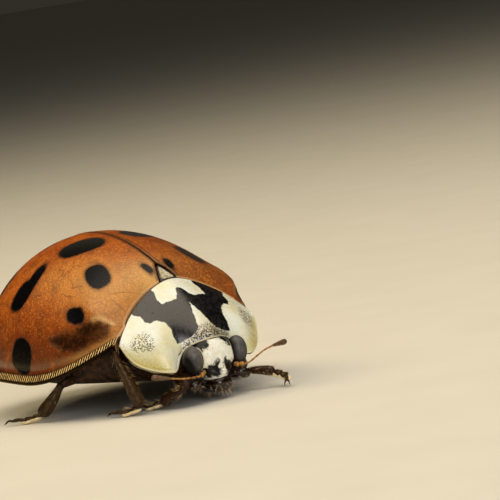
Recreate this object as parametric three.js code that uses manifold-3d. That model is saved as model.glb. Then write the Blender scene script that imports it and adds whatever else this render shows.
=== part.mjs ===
// A harlequin ladybird standing on level ground, life size, in millimetres.
// +Z is up, the head points along -Y and the animal's own left side is +X.

import * as THREE from 'three';
import { mergeVertices } from 'three/addons/utils/BufferGeometryUtils.js';
import { LoftGeometry } from 'three/addons/geometries/LoftGeometry.js';
import Module from 'manifold-3d';

const wasm = await Module();
wasm.setup();

// Stance: the body leans head-down about a point above its middle, and the
// six feet stand flat on the ground plane z = 0.
const BODY_LEAN = THREE.MathUtils.degToRad(5);
const LEAN_HEIGHT = 1.2;
const BODY_DROP = 0.1;

// Clearance between neighbouring plates and between the pieces of a leg.
const SEAM = 0.03;

// Wing cases: the crown line, the outer edge and the shell.
const WING_LENGTH = 5.616;
const WING_HALF_WIDTH = 2.913;
const SHOULDER_HALF_WIDTH = 2.2;
const WIDEST_AT = 2.703;
const CROWN_HEIGHT = 3.821;
const CROWN_HEIGHT_FRONT = 2.98;
const EDGE_HEIGHT = 0.89;
const EDGE_HEIGHT_FRONT = 1.53;
const WING_SHELL = 0.5;
const WING_RIM = 0.07;
const CALLUS_RISE = 0.06;

// Pronotum: how thick its shell is.
const PRONOTUM_SHELL = 0.34;

// Head, eyes and the upper lip.
const HEAD_CENTRE = [0, -1.2, 1.13];
const HEAD_RADII = [0.6, 0.43, 0.53];
const EYE_CENTRE = [0.63, -1.41, 1.23];
const EYE_RADII = [0.225, 0.235, 0.33];
const FACE_PLATE_HALF_WIDTH = 0.36;
const LIP_CENTRE = [0, -1.5, 0.59];
const LIP_RADII = [0.3, 0.13, 0.15];

// Legs and feelers, as thick as they are made here.
const FEMUR_RADIUS = 0.29;
const TIBIA_RADIUS = 0.25;
const TARSUS_RADIUS = 0.25;
const FEELER_RADIUS = 0.23;

// Colours and finish.
const COLOURS = {
  orange: new THREE.MeshStandardMaterial({ color: 0xb8601f, roughness: 0.25, metalness: 0 }),
  ivory: new THREE.MeshStandardMaterial({ color: 0xe6dfc4, roughness: 0.3, metalness: 0 }),
  black: new THREE.MeshStandardMaterial({ color: 0x14110f, roughness: 0.2, metalness: 0 }),
  grey: new THREE.MeshStandardMaterial({ color: 0x4c4a48, roughness: 0.25, metalness: 0 }),
  brown: new THREE.MeshStandardMaterial({ color: 0x6d451f, roughness: 0.4, metalness: 0 }),
  rust: new THREE.MeshStandardMaterial({ color: 0x8c5526, roughness: 0.4, metalness: 0 }),
};

// ---------------------------------------------------------------------------
// Making solids
// ---------------------------------------------------------------------------

// A closed geometry as a solid that can be cut and joined.
function solidFrom(geometry) {
  const bare = geometry.index ? geometry.toNonIndexed() : geometry.clone();
  bare.deleteAttribute('normal');
  bare.deleteAttribute('uv');
  const merged = mergeVertices(bare, 1e-5);
  const solid = new wasm.Manifold(new wasm.Mesh({
    numProp: 3,
    vertProperties: new Float32Array(merged.attributes.position.array),
    triVerts: new Uint32Array(merged.index.array),
  }));
  return solid;
}

// A solid as the geometry of a mesh. Slivers cut loose from it are left out.
function geometryFrom(solid) {
  const bodies = solid.decompose();
  bodies.sort((first, second) => second.volume() - first.volume());
  const mesh = bodies[0].getMesh();
  const geometry = new THREE.BufferGeometry();
  geometry.setAttribute('position', new THREE.BufferAttribute(mesh.vertProperties, 3));
  geometry.setIndex(new THREE.BufferAttribute(mesh.triVerts, 1));
  geometry.computeVertexNormals();
  return geometry;
}

// Whether a section runs counterclockwise when seen from the next one.
function runsForward(section, next) {
  const normal = new THREE.Vector3();
  const step = new THREE.Vector3();
  section.forEach((point, i) => {
    const neighbour = section[(i + 1) % section.length];
    normal.add(point.clone().sub(section[0]).cross(neighbour.clone().sub(section[0])));
    step.add(next[i]).sub(point);
  });
  return normal.dot(step) > 0;
}

// A solid skinned over closed sections, whichever way round they run.
function loft(sections) {
  const ordered = runsForward(sections[0], sections[1])
    ? sections
    : sections.map((section) => section.toReversed());
  return solidFrom(new LoftGeometry(ordered, { closed: true, capStart: true, capEnd: true }));
}

// A round lump with its own three radii. It is turned about Z first, then X.
function lump(centre, radii, { grow = 0, turn = [0, 0, 0], detail = [16, 10] } = {}) {
  const geometry = new THREE.SphereGeometry(1, detail[0], detail[1]);
  geometry.scale(radii[0] + grow, radii[1] + grow, radii[2] + grow);
  geometry.applyMatrix4(new THREE.Matrix4().makeRotationFromEuler(new THREE.Euler(...turn)));
  geometry.translate(...centre);
  return solidFrom(geometry);
}

// A block, for cutting with.
function block(low, high) {
  const size = high.map((value, axis) => value - low[axis]);
  const geometry = new THREE.BoxGeometry(...size);
  geometry.translate(...low.map((value, axis) => value + size[axis] / 2));
  return solidFrom(geometry);
}

// A rod of changing thickness along a curved line. Each entry of `girth` is
// [place along the line, radius], and `up` is a direction that it never runs in.
function rod(points, girth, { grow = 0, sides = 7, up = new THREE.Vector3(0, 0, 1) } = {}) {
  const line = new THREE.CatmullRomCurve3(points, false, 'centripetal');
  const sections = girth.map(([place, radius]) => {
    const centre = line.getPointAt(place);
    const along = line.getTangentAt(place);
    const across = new THREE.Vector3().crossVectors(along, up).normalize();
    const rise = new THREE.Vector3().crossVectors(across, along).normalize();
    if (place === 0) centre.addScaledVector(along, -grow);
    if (place === 1) centre.addScaledVector(along, grow);
    return Array.from({ length: sides }, (_, i) => {
      const angle = (i / sides) * Math.PI * 2;
      return centre.clone()
        .addScaledVector(across, Math.cos(angle) * (radius + grow))
        .addScaledVector(rise, Math.sin(angle) * (radius + grow));
    });
  });
  return loft(sections);
}

// A smooth step from 0 to 1 between two values.
function ramp(from, to, value) {
  return THREE.MathUtils.smoothstep(value, from, to);
}

// A curve through [x, y, z] points, read back by its x.
function edge(points) {
  const line = new THREE.CatmullRomCurve3(points.map((point) => new THREE.Vector3(...point)));
  const samples = line.getPoints(200);
  return (x) => {
    const k = Math.max(1, samples.findIndex((point) => point.x >= Math.min(x, samples.at(-1).x)));
    const before = samples[k - 1];
    const after = samples[k];
    const share = (x - before.x) / Math.max(1e-6, after.x - before.x);
    return before.clone().lerp(after, THREE.MathUtils.clamp(share, 0, 1));
  };
}

// ---------------------------------------------------------------------------
// Wing cases. In the body's own frame y runs back from the front of the wing
// cases, and the two together make one dome that is cut along the middle.
// ---------------------------------------------------------------------------

function wingHalfWidth(y) {
  if (y < WIDEST_AT) {
    const share = (WIDEST_AT - y) / WIDEST_AT;
    const corner = 0.2 * Math.max(0, 0.15 - y) ** 2 / 0.45 ** 2;
    return WING_HALF_WIDTH - (WING_HALF_WIDTH - SHOULDER_HALF_WIDTH) * share ** 2.6 - corner;
  }
  const share = (y - WIDEST_AT) / (WING_LENGTH - WIDEST_AT);
  return WING_HALF_WIDTH * Math.sqrt(Math.max(0, 1 - share ** 2.05));
}

function crownHeight(y) {
  const top = WIDEST_AT - 0.1;
  const rollOff = 0.2 * (1 - ramp(-0.35, 0.35, y));
  if (y < top) {
    const share = (top - y) / top;
    return CROWN_HEIGHT - (CROWN_HEIGHT - CROWN_HEIGHT_FRONT) * share ** 2 - rollOff;
  }
  const share = Math.min(1, (y - top) / (WING_LENGTH - top));
  return EDGE_HEIGHT + (CROWN_HEIGHT - EDGE_HEIGHT) * (1 - share ** 2.2) ** 0.6;
}

function edgeHeight(y) {
  const share = Math.max(0, (2 - y) / 2);
  const corner = 0.6 * Math.max(0, -y) ** 2;
  return EDGE_HEIGHT + (EDGE_HEIGHT_FRONT - EDGE_HEIGHT) * share ** 2 + corner;
}

// One cross-section of the dome, taken in by `inset` on every side.
function domeSection(y, inset, steps, floorDrop) {
  const width = Math.max(0.02, wingHalfWidth(y) - inset);
  const low = edgeHeight(y);
  const rise = Math.max(0.02, crownHeight(y) - inset - low);
  const points = [];
  for (let i = 0; i <= steps; i += 1) {
    const angle = (i / steps - 0.5) * Math.PI;
    const rim = inset > 0 ? 0 : WING_RIM * ramp(1.3, 1.57, Math.abs(angle));
    const callus = CALLUS_RISE * Math.exp(-(((y - 0.6) / 0.45) ** 2) - ((Math.abs(angle) - 1.0) / 0.25) ** 2);
    const lift = inset > 0 ? 0 : callus;
    const x = (width + rim + lift) * Math.sin(angle);
    const z = low + (rise + lift) * Math.cos(angle) ** 0.963;
    points.push(new THREE.Vector3(x, y, z));
  }
  if (floorDrop > 0) {
    points.push(new THREE.Vector3(width, y, low - floorDrop));
    points.push(new THREE.Vector3(-width, y, low - floorDrop));
  }
  return points;
}

// An inner dome is shorter, so behind its middle it is read a little further back.
function stretched(y, inset) {
  if (y < WIDEST_AT) return y;
  const reach = WING_LENGTH - WIDEST_AT;
  return WIDEST_AT + ((y - WIDEST_AT) * reach) / (reach - inset);
}

function dome(inset, front, places, steps, floorDrop = 0) {
  const sections = places.map((share) => {
    const y = front + (WING_LENGTH - inset - front) * share;
    return domeSection(stretched(y, inset), inset, steps, floorDrop)
      .map((point) => new THREE.Vector3(point.x, y, point.z));
  });
  return loft(sections);
}

const OUTER_PLACES = [0, 0.05, 0.11, 0.19, 0.29, 0.41, 0.53, 0.64, 0.74, 0.83, 0.9, 0.955, 0.985, 0.998];
const OUTER_STEPS = 18;
const INNER_PLACES = [0, 0.18, 0.36, 0.54, 0.69, 0.82, 0.92, 0.98, 0.998];
const HOLLOW_STEPS = 12;
const HOLLOW_FRONT = -0.35;

// ---------------------------------------------------------------------------
// Pronotum: a shield bent down at the sides, hollow below, with a bay in front
// for the head.
// ---------------------------------------------------------------------------

const backEdge = edge([[0, -0.035, 2.903], [0.581, -0.028, 2.748], [1.293, -0.182, 2.343],
  [1.7, -0.32, 1.98], [1.915, -0.44, 1.77]]);
const frontEdge = edge([[0, -1.455, 1.635], [0.22, -1.4, 1.61], [0.42, -1.28, 1.55], [0.62, -1.17, 1.45],
  [0.74, -1.14, 1.31], [0.84, -1.17, 1.14], [0.94, -1.24, 1.05], [1.1, -1.33, 1.035], [1.42, -1.12, 1.1],
  [1.712, -0.806, 1.266], [1.86, -0.62, 1.5], [1.915, -0.46, 1.74]]);
const swell = edge([[0, -0.84, 2.34], [0.7, -1.03, 2.16], [1.1, -1.12, 1.95], [1.4, -0.98, 1.85],
  [1.7, -0.74, 1.78], [1.915, -0.45, 1.755]]);

function pronotumSection(x, grow) {
  const side = Math.abs(x);
  const back = backEdge(side);
  const middle = swell(side);
  const front = frontEdge(side);
  const bow = new THREE.QuadraticBezierCurve3(back, middle, front);
  const shell = PRONOTUM_SHELL * (1 - 0.7 * ramp(1.3, 1.9, side));
  const steps = 5;
  const top = [];
  const bottom = [];
  for (let i = 0; i <= steps; i += 1) {
    const point = bow.getPoint(i / steps);
    const along = bow.getTangent(i / steps);
    const down = new THREE.Vector3(0, -along.z, along.y).normalize();
    top.push(point.clone().addScaledVector(down, -grow));
    // At the back edge the shell stands straight up, so that it clears the wings.
    down.y *= ramp(0, 0.3, i / steps);
    bottom.push(point.clone().addScaledVector(down, shell * (1 - 0.5 * (i / steps) ** 2) + grow));
  }
  const start = bow.getTangent(0).normalize();
  const end = bow.getTangent(1).normalize();
  const ring = [...top, ...bottom.reverse()];
  ring.forEach((point, i) => {
    if (i === 0 || i === ring.length - 1) point.addScaledVector(start, -grow);
    if (i === steps || i === steps + 1) point.addScaledVector(end, grow);
    point.x = x;
  });
  return ring;
}

function pronotum(grow) {
  const places = [0.3, 0.56, 0.72, 0.84, 0.96, 1.12, 1.36, 1.56, 1.72, 1.82, 1.88];
  const across = [...places.map((place) => -place).reverse(), 0, ...places];
  return loft(across.map((x) => pronotumSection(x, grow)));
}

// ---------------------------------------------------------------------------
// Building the body, in its own level frame
// ---------------------------------------------------------------------------

const pronotumPlate = pronotum(0);
const pronotumRoom = pronotum(SEAM);

// The small triangular plate between the wing cases, level with their crown.
// `headroom` makes it taller, to cut its place through the wing cases.
function scutellum(grow, headroom = 0) {
  const outline = (z, slope) => [
    new THREE.Vector3(-0.28 - grow, 0.03 - grow, z),
    new THREE.Vector3(0.28 + grow, 0.03 - grow, z),
    new THREE.Vector3(0.2 + grow, 0.2, z + 0.17 * slope),
    new THREE.Vector3(0.03 + grow, 0.5 + grow, z + 0.4 * slope),
    new THREE.Vector3(-0.03 - grow, 0.5 + grow, z + 0.4 * slope),
    new THREE.Vector3(-0.2 - grow, 0.2, z + 0.17 * slope),
  ];
  return loft([outline(2.45 - grow, 0.25), outline(2.86 + grow + headroom, 1)]);
}

const wingOuter = dome(0, -0.3, OUTER_PLACES, OUTER_STEPS);
const wingHollow = dome(WING_SHELL, HOLLOW_FRONT, INNER_PLACES, HOLLOW_STEPS, 1.2);

// The room in front of the wing cases, up to the back edge of the pronotum.
const ROOM_PLACES = [-1.94, -1.7, -1.45, -1.1, -0.7, -0.35, 0, 0.35, 0.7, 1.1, 1.45, 1.7, 1.94];
const frontRoom = loft(ROOM_PLACES.map((x) => {
  const y = backEdge(Math.abs(x)).y + SEAM;
  return [[y, 0.5], [y, 4.5], [-2, 4.5], [-2, 0.5]].map(([back, z]) => new THREE.Vector3(x, back, z));
}));

const wingPair = wingOuter.subtract(wingHollow).subtract(frontRoom).subtract(scutellum(SEAM, 0.5));

function wingCase(side) {
  const half = side > 0
    ? block([SEAM / 2, -2, 0], [4, 7, 5])
    : block([-4, -2, 0], [-SEAM / 2, 7, 5]);
  return wingPair.intersect(half);
}

// Joints of the legs, from the hip outwards. Hips are given in the body's
// frame and the rest on the ground: x out, y back, z up.
const LEGS = {
  front_right: { hip: [-0.36, -0.45, 0.82], knee: [-0.98, -1.44, 0.47], ankle: [-1.12, -0.72, 0.3],
    toes: [[-1.22, -0.5, 0.24], [-1.32, 0.05, 0.2]] },
  front_left: { hip: [0.36, -0.45, 0.82], knee: [0.86, -1.08, 0.42], ankle: [1.3, -1.72, 0.36],
    toes: [[1.36, -1.95, 0.26], [1.18, -2.32, 0.16]] },
  middle_right: { hip: [-0.86, 0.55, 0.9], knee: [-1.95, -0.33, 1.42], ankle: [-1.74, -0.7, 0.32],
    toes: [[-1.82, -0.5, 0.24], [-2.15, 0.08, 0.2]] },
  middle_left: { hip: [0.86, 0.55, 0.9], knee: [2.0, 0.3, 1.22], ankle: [2.25, 0.75, 0.32],
    toes: [[2.32, 0.92, 0.24], [2.62, 1.42, 0.2]] },
  hind_right: { hip: [-0.8, 1.72, 0.86], knee: [-2.42, 1.2, 0.82], ankle: [-2.62, 1.98, 0.32],
    toes: [[-2.75, 2.16, 0.24], [-3.2, 2.74, 0.2]] },
  hind_left: { hip: [0.8, 1.72, 0.86], knee: [2.42, 1.35, 0.82], ankle: [2.66, 2.2, 0.32],
    toes: [[2.8, 2.38, 0.24], [3.2, 2.96, 0.2]] },
};

// The pose of the body over the ground, and a point on the ground in its frame.
const stance = new THREE.Matrix4()
  .makeTranslation(0, 0, LEAN_HEIGHT - BODY_DROP)
  .multiply(new THREE.Matrix4().makeRotationX(BODY_LEAN))
  .multiply(new THREE.Matrix4().makeTranslation(0, 0, -LEAN_HEIGHT));
const ground = stance.clone().invert();

function grounded(point) {
  return new THREE.Vector3(...point).applyMatrix4(ground);
}

// Everything below z = 0, for flattening the soles.
const underground = (() => {
  const geometry = new THREE.BoxGeometry(12, 16, 2);
  geometry.translate(0, 0, -1);
  geometry.applyMatrix4(ground);
  return solidFrom(geometry);
})();

function legLines(name) {
  const { hip, knee, ankle, toes } = LEGS[name];
  const hipPoint = new THREE.Vector3(...hip);
  const kneePoint = grounded(knee);
  const anklePoint = grounded(ankle);
  const toePoints = toes.map(grounded);
  const outward = kneePoint.clone().sub(hipPoint).normalize();
  return { hipPoint, kneePoint, anklePoint, toePoints, outward };
}

const THIGH_GIRTH = [[0, 0.16], [0.12, 0.25], [0.4, 1], [0.65, 0.97], [0.88, 0.8], [0.97, 0.6], [1, 0.35]];
const SHIN_GIRTH = [[0, 0.55], [0.06, 0.8], [0.4, 0.92], [0.75, 1.05], [0.94, 0.95], [1, 0.6]];
const FOOT_GIRTH = [[0, 0.6], [0.1, 0.92], [0.4, 1.05], [0.62, 1], [0.85, 0.92], [0.96, 0.7], [1, 0.4]];

function coxa(name, grow) {
  const { hipPoint, outward } = legLines(name);
  const turn = [0, 0, Math.atan2(outward.y, outward.x)];
  return lump(hipPoint.toArray(), [0.36, 0.25, 0.22], { grow, turn, detail: [8, 5] });
}

function femur(name, grow) {
  const { hipPoint, kneePoint, outward } = legLines(name);
  const start = hipPoint.clone().addScaledVector(outward, 0.2);
  const middle = start.clone().lerp(kneePoint, 0.5).add(new THREE.Vector3(0, 0, 0.04));
  const girth = THIGH_GIRTH.map(([place, share]) => [place, share * FEMUR_RADIUS]);
  return rod([start, middle, kneePoint], girth, { grow });
}

function tibia(name, grow) {
  const { kneePoint, anklePoint } = legLines(name);
  const middle = kneePoint.clone().lerp(anklePoint, 0.5);
  const outside = new THREE.Vector3(Math.sign(kneePoint.x) * 0.05, 0, 0.02);
  const girth = SHIN_GIRTH.map(([place, share]) => [place, share * TIBIA_RADIUS]);
  const up = new THREE.Vector3(0.3, 1, 0.2).normalize();
  return rod([kneePoint, middle.add(outside), anklePoint], girth, { grow, up });
}

function tarsus(name, grow) {
  const { anklePoint, toePoints } = legLines(name);
  const girth = FOOT_GIRTH.map(([place, share]) => [place, share * TARSUS_RADIUS]);
  return rod([anklePoint, ...toePoints], girth, { grow });
}

// The trunk below the shells: its top follows the wing cases from inside and
// its belly is rounded. Cut across, it gives the thorax and the abdomen.
function trunkSection(share) {
  const inset = WING_SHELL + SEAM;
  const y = HOLLOW_FRONT + (WING_LENGTH - inset - HOLLOW_FRONT) * share;
  const shifted = stretched(y, inset);
  const upper = domeSection(shifted, inset, HOLLOW_STEPS, 0);
  const width = upper.at(-1).x;
  const low = edgeHeight(shifted);
  const belly = THREE.MathUtils.lerp(0.58, low - 0.12, ramp(3.4, 5.1, y));
  const points = upper.map((point) => new THREE.Vector3(point.x, y, point.z));
  for (let i = 1; i < 10; i += 1) {
    const angle = (i / 10) * Math.PI;
    const fullness = Math.sin(angle) ** 0.6;
    points.push(new THREE.Vector3(width * Math.cos(angle), y, low - (low - belly) * fullness));
  }
  return points;
}

const trunk = loft(INNER_PLACES.map(trunkSection));

// Head, eyes and the mouthparts around them.
function eye(side, grow) {
  const centre = [side * EYE_CENTRE[0], EYE_CENTRE[1], EYE_CENTRE[2]];
  return lump(centre, EYE_RADII, { grow, turn: [0, 0, side * 0.25], detail: [12, 8] });
}

function headLump(grow) {
  return lump(HEAD_CENTRE, HEAD_RADII, { grow, detail: [14, 9] });
}

function clypeus(grow) {
  const width = FACE_PLATE_HALF_WIDTH + grow;
  const section = (x) => {
    const drop = 0.07 * (x / width) ** 2;
    return [
      new THREE.Vector3(x, -1.4 + drop + grow, 0.96 + grow),
      new THREE.Vector3(x, -1.62 + drop - grow, 0.94 + grow),
      new THREE.Vector3(x, -1.59 + drop - grow, 0.76 - grow),
      new THREE.Vector3(x, -1.4 + drop + grow, 0.72 - grow),
    ];
  };
  return loft([-width, -0.5 * width, 0, 0.5 * width, width].map(section));
}

function labrum(grow) {
  return lump(LIP_CENTRE, LIP_RADII, { grow, turn: [0.35, 0, 0], detail: [10, 6] });
}

function mandible(side, grow) {
  const turn = [0.2, 0, side * 0.3];
  return lump([side * 0.27, -1.38, 0.5], [0.12, 0.22, 0.12], { grow, turn, detail: [8, 5] });
}

function labium(grow) {
  return lump([0, -1.16, 0.47], [0.22, 0.26, 0.12], { grow, detail: [8, 5] });
}

function palp(side, grow) {
  const line = [[0.42, -1.36, 0.7], [0.56, -1.48, 0.72], [0.82, -1.52, 0.64]];
  const points = line.map(([x, y, z]) => new THREE.Vector3(side * x, y, z));
  return rod(points, [[0, 0.08], [0.35, 0.1], [0.7, 0.14], [0.95, 0.13], [1, 0.08]], { grow });
}

// Each feeler is a short base, a thin stalk and a club.
const FEELERS = {
  left: [[0.45, -1.6, 0.96], [0.64, -1.86, 0.97], [1.0, -1.99, 1.2], [1.22, -2.0, 1.24], [1.6, -1.97, 1.24]],
  right: [[-0.45, -1.6, 0.94], [-0.74, -1.68, 0.9], [-1.14, -1.62, 0.93], [-1.34, -1.54, 0.98],
    [-1.68, -1.36, 1.06]],
};
const FEELER_PIECES = {
  scape: { from: 0, to: 1, girth: [[0, 0.6], [0.2, 0.95], [0.8, 0.95], [1, 0.6]] },
  stalk: { from: 1, to: 3, girth: [[0, 0.6], [0.1, 0.9], [0.5, 0.92], [0.9, 0.9], [1, 0.6]] },
  club: { from: 3, to: 4, girth: [[0, 0.6], [0.3, 1], [0.7, 1.08], [0.95, 0.8], [1, 0.5]] },
};

function feeler(side, piece, grow) {
  const { from, to, girth } = FEELER_PIECES[piece];
  const points = FEELERS[side].slice(from, to + 1).map((point) => new THREE.Vector3(...point));
  if (points.length === 2) points.splice(1, 0, points[0].clone().lerp(points[1], 0.5));
  const sized = girth.map(([place, share]) => [place, share * FEELER_RADIUS]);
  return rod(points, sized, { grow });
}

// ---------------------------------------------------------------------------
// Assembly. Every piece is cut back by those listed before it, with a seam.
// ---------------------------------------------------------------------------

const pieces = [];

function add(name, material, solid, cutters = []) {
  const cut = cutters.reduce((rest, cutter) => rest.subtract(cutter), solid);
  pieces.push({ name, material, geometry: geometryFrom(cut) });
}

const legNames = Object.keys(LEGS);
const sides = { right: -1, left: 1 };
const eyeRoom = [eye(-1, SEAM), eye(1, SEAM)];
const coxaRoom = legNames.map((name) => coxa(name, SEAM));
const femurRoom = legNames.map((name) => femur(name, SEAM));
const headRoom = headLump(SEAM);
const wingRoom = dome(-SEAM, -0.36, OUTER_PLACES, OUTER_STEPS)
  .subtract(dome(WING_SHELL + SEAM, HOLLOW_FRONT - 0.05, INNER_PLACES, HOLLOW_STEPS, 1.2));

add('pronotum', COLOURS.ivory, pronotumPlate);
add('scutellum', COLOURS.black, scutellum(0), [pronotumRoom]);
for (const [side, sign] of Object.entries(sides)) {
  add(`wing_case_${side}`, COLOURS.orange, wingCase(sign));
}

add('head', COLOURS.ivory, headLump(0), [pronotumRoom, ...eyeRoom, clypeus(SEAM), labrum(SEAM)]);
for (const [side, sign] of Object.entries(sides)) {
  add(`eye_${side}`, COLOURS.grey, eye(sign, 0), [pronotumRoom]);
}
add('clypeus', COLOURS.ivory, clypeus(0));
add('labrum', COLOURS.black, labrum(0), [clypeus(SEAM)]);
const mouthRoom = [headRoom, clypeus(SEAM), labrum(SEAM)];
const besideFeelers = [femur('front_right', SEAM), femur('middle_right', SEAM)];
for (const [side, sign] of Object.entries(sides)) {
  add(`mandible_${side}`, COLOURS.brown, mandible(sign, 0), mouthRoom);
  const palpCutters = [...mouthRoom, mandible(sign, SEAM), feeler(side, 'scape', SEAM), ...femurRoom];
  add(`palp_${side}`, COLOURS.brown, palp(sign, 0), palpCutters);
  add(`feeler_base_${side}`, COLOURS.rust, feeler(side, 'scape', 0),
    [headRoom, clypeus(SEAM), ...eyeRoom, pronotumRoom]);
  add(`feeler_stalk_${side}`, COLOURS.rust, feeler(side, 'stalk', 0),
    [feeler(side, 'scape', SEAM), ...eyeRoom, pronotumRoom, ...besideFeelers]);
  add(`feeler_club_${side}`, COLOURS.brown, feeler(side, 'club', 0),
    [feeler(side, 'stalk', SEAM), pronotumRoom, ...besideFeelers]);
}
add('labium', COLOURS.brown, labium(0), [...mouthRoom, mandible(-1, SEAM), mandible(1, SEAM)]);

// Thorax and abdomen.
const collar = lump([0, -0.66, 1.3], [1.3, 0.6, 0.72], { detail: [10, 7] });
const neckRoom = [pronotumRoom, headRoom, ...coxaRoom, ...femurRoom, scutellum(SEAM), labium(SEAM)];
add('prosternum', COLOURS.black, collar.intersect(block([-3, -2, 0], [3, HOLLOW_FRONT - SEAM, 4])), neckRoom);
const trunkRoom = [pronotumRoom, scutellum(SEAM), ...coxaRoom, ...femurRoom];
add('mesothorax', COLOURS.black, trunk.intersect(block([-3, -1, 0], [3, 0.95 - SEAM, 4])), trunkRoom);
add('metathorax', COLOURS.black, trunk.intersect(block([-3, 0.95, 0], [3, 2.1 - SEAM, 4])), trunkRoom);
add('abdomen', COLOURS.brown, trunk.intersect(block([-3, 2.1, 0], [3, 6, 4])), trunkRoom);

// Legs.
legNames.forEach((name) => {
  const others = legNames.filter((other) => other !== name);
  add(`coxa_${name}`, COLOURS.brown, coxa(name, 0));
  add(`femur_${name}`, COLOURS.brown, femur(name, 0), [coxa(name, SEAM), headRoom, wingRoom, pronotumRoom]);
  add(`tibia_${name}`, COLOURS.brown, tibia(name, 0), [femur(name, SEAM), wingRoom, pronotumRoom]);
  const otherShins = others.map((other) => tibia(other, SEAM));
  add(`tarsus_${name}`, COLOURS.rust, tarsus(name, 0), [tibia(name, SEAM), underground, ...otherShins]);
});

// ---------------------------------------------------------------------------
// The finished animal, with the middle of its footprint at the origin
// ---------------------------------------------------------------------------

const body = new THREE.Group();
stance.decompose(body.position, body.quaternion, body.scale);
for (const { name, material, geometry } of pieces) {
  const mesh = new THREE.Mesh(geometry, material);
  mesh.name = name;
  body.add(mesh);
}

const ladybird = new THREE.Group();
ladybird.add(body);
ladybird.updateMatrixWorld(true);
const bounds = new THREE.Box3().setFromObject(ladybird, true);
const middle = bounds.getCenter(new THREE.Vector3());
ladybird.position.set(-middle.x, -middle.y, -bounds.min.z);
ladybird.updateMatrixWorld(true);

export default ladybird;
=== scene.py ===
import math
import random

import bmesh
import bpy
import numpy as np
from mathutils import Matrix, Vector


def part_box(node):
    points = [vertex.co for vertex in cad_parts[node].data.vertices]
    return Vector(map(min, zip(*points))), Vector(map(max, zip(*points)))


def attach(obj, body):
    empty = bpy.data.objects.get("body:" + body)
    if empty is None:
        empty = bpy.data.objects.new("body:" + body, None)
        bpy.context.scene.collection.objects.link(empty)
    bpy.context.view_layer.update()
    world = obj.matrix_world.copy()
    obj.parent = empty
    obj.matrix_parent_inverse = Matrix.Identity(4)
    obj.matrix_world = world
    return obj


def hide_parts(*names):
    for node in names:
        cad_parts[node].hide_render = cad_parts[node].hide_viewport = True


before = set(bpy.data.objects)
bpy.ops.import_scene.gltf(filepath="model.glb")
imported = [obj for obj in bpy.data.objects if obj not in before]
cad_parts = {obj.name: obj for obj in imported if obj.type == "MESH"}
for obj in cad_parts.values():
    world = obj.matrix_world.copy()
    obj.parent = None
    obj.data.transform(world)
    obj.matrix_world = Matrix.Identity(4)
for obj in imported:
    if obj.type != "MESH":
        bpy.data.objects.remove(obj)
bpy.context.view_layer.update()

# --------------------
# The stance. The body is shaped level, in millimetres, and then leans head
# down over its feet; the feet are shaped on the ground. The hips fix both.
# --------------------
LEAN = math.radians(5)
HIPS_LEVEL = Vector((0, 0.55, 0.9))
LEAN_POINT = Vector((0, 0, 1.2))


def middle_of(node):
    low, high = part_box(node)
    return (low + high) / 2


hips = (middle_of("coxa_middle_right") + middle_of("coxa_middle_left")) / 2
TO_METRES = Matrix.Scale(0.001, 4)
BODY = Matrix.Translation(hips) @ Matrix.Rotation(LEAN, 4, "X") @ TO_METRES @ Matrix.Translation(-HIPS_LEVEL)
under_body = BODY @ LEAN_POINT
GROUND = Matrix.Translation((under_body.x, under_body.y, 0)) @ TO_METRES

# --------------------
# The studio: a camera low in front of the right eye, one wide soft box
# overhead, two weak ones in front and behind, and a plain pale floor.
# --------------------
CAMERA_TURN = math.radians(-37.43)
CAMERA_RISE = math.radians(9.08)
CAMERA_ROLL = math.radians(-6.48)
CAMERA_AWAY = 70.57
CAMERA_AIM = Vector((1.19, -1.585, 3.42))

backward = Vector((math.sin(CAMERA_TURN) * math.cos(CAMERA_RISE),
                   -math.cos(CAMERA_TURN) * math.cos(CAMERA_RISE),
                   math.sin(CAMERA_RISE)))
level_right = Vector((math.cos(CAMERA_TURN), math.sin(CAMERA_TURN), 0))
level_up = backward.cross(level_right)
camera_right = math.cos(CAMERA_ROLL) * level_right + math.sin(CAMERA_ROLL) * level_up
camera_up = -math.sin(CAMERA_ROLL) * level_right + math.cos(CAMERA_ROLL) * level_up
turned = Matrix((camera_right, camera_up, backward)).transposed()
lean_only = Matrix.Rotation(LEAN, 3, "X")
camera = bpy.data.objects.new("camera", bpy.data.cameras.new("camera"))
camera.data.lens = 225.6
camera.data.sensor_width = 36
camera.data.clip_start = 0.002
camera.data.clip_end = 20
camera.matrix_world = (Matrix.Translation(BODY @ (CAMERA_AIM + backward * CAMERA_AWAY))
                       @ (lean_only @ turned).to_4x4())
bpy.context.scene.collection.objects.link(camera)
bpy.context.scene.camera = camera
bpy.context.scene.view_settings.view_transform = "Standard"


def soft_box(name, place, aim, size, power, tint, mirrored=True):
    lamp = bpy.data.lights.new(name, "AREA")
    lamp.shape = "RECTANGLE"
    lamp.size, lamp.size_y = size
    lamp.energy = power
    lamp.color = tint
    holder = bpy.data.objects.new(name, lamp)
    holder.location = place
    holder.rotation_euler = (Vector(aim) - Vector(place)).to_track_quat("-Z", "Y").to_euler()
    holder.visible_camera = False
    holder.visible_glossy = mirrored
    bpy.context.scene.collection.objects.link(holder)


soft_box("overhead", (-0.007, -0.03, 0.1), (-0.007, -0.03, 0), (0.143, 0.114), 0.115, (1, 0.88, 0.7))
soft_box("front", (-0.06, -0.2, 0.07), (0, 0, 0), (0.1, 0.1), 0.165, (1, 0.97, 0.94))
soft_box("behind", (-0.045, 0.08, 0.09), (0, 0, 0), (0.06, 0.06), 0.09, (1, 0.82, 0.5), False)


def dress(node, inputs):
    """Sets a node's inputs, each to a value or to another node's socket."""
    for key, value in inputs.items():
        if isinstance(value, bpy.types.NodeSocket):
            node.id_data.links.new(value, node.inputs[key])
        else:
            node.inputs[key].default_value = value


def lay(tree, kind, inputs=None, **settings):
    """Adds one shader node."""
    node = tree.nodes.new("ShaderNode" + kind)
    for key, value in settings.items():
        setattr(node, key, value)
    dress(node, inputs or {})
    return node


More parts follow.
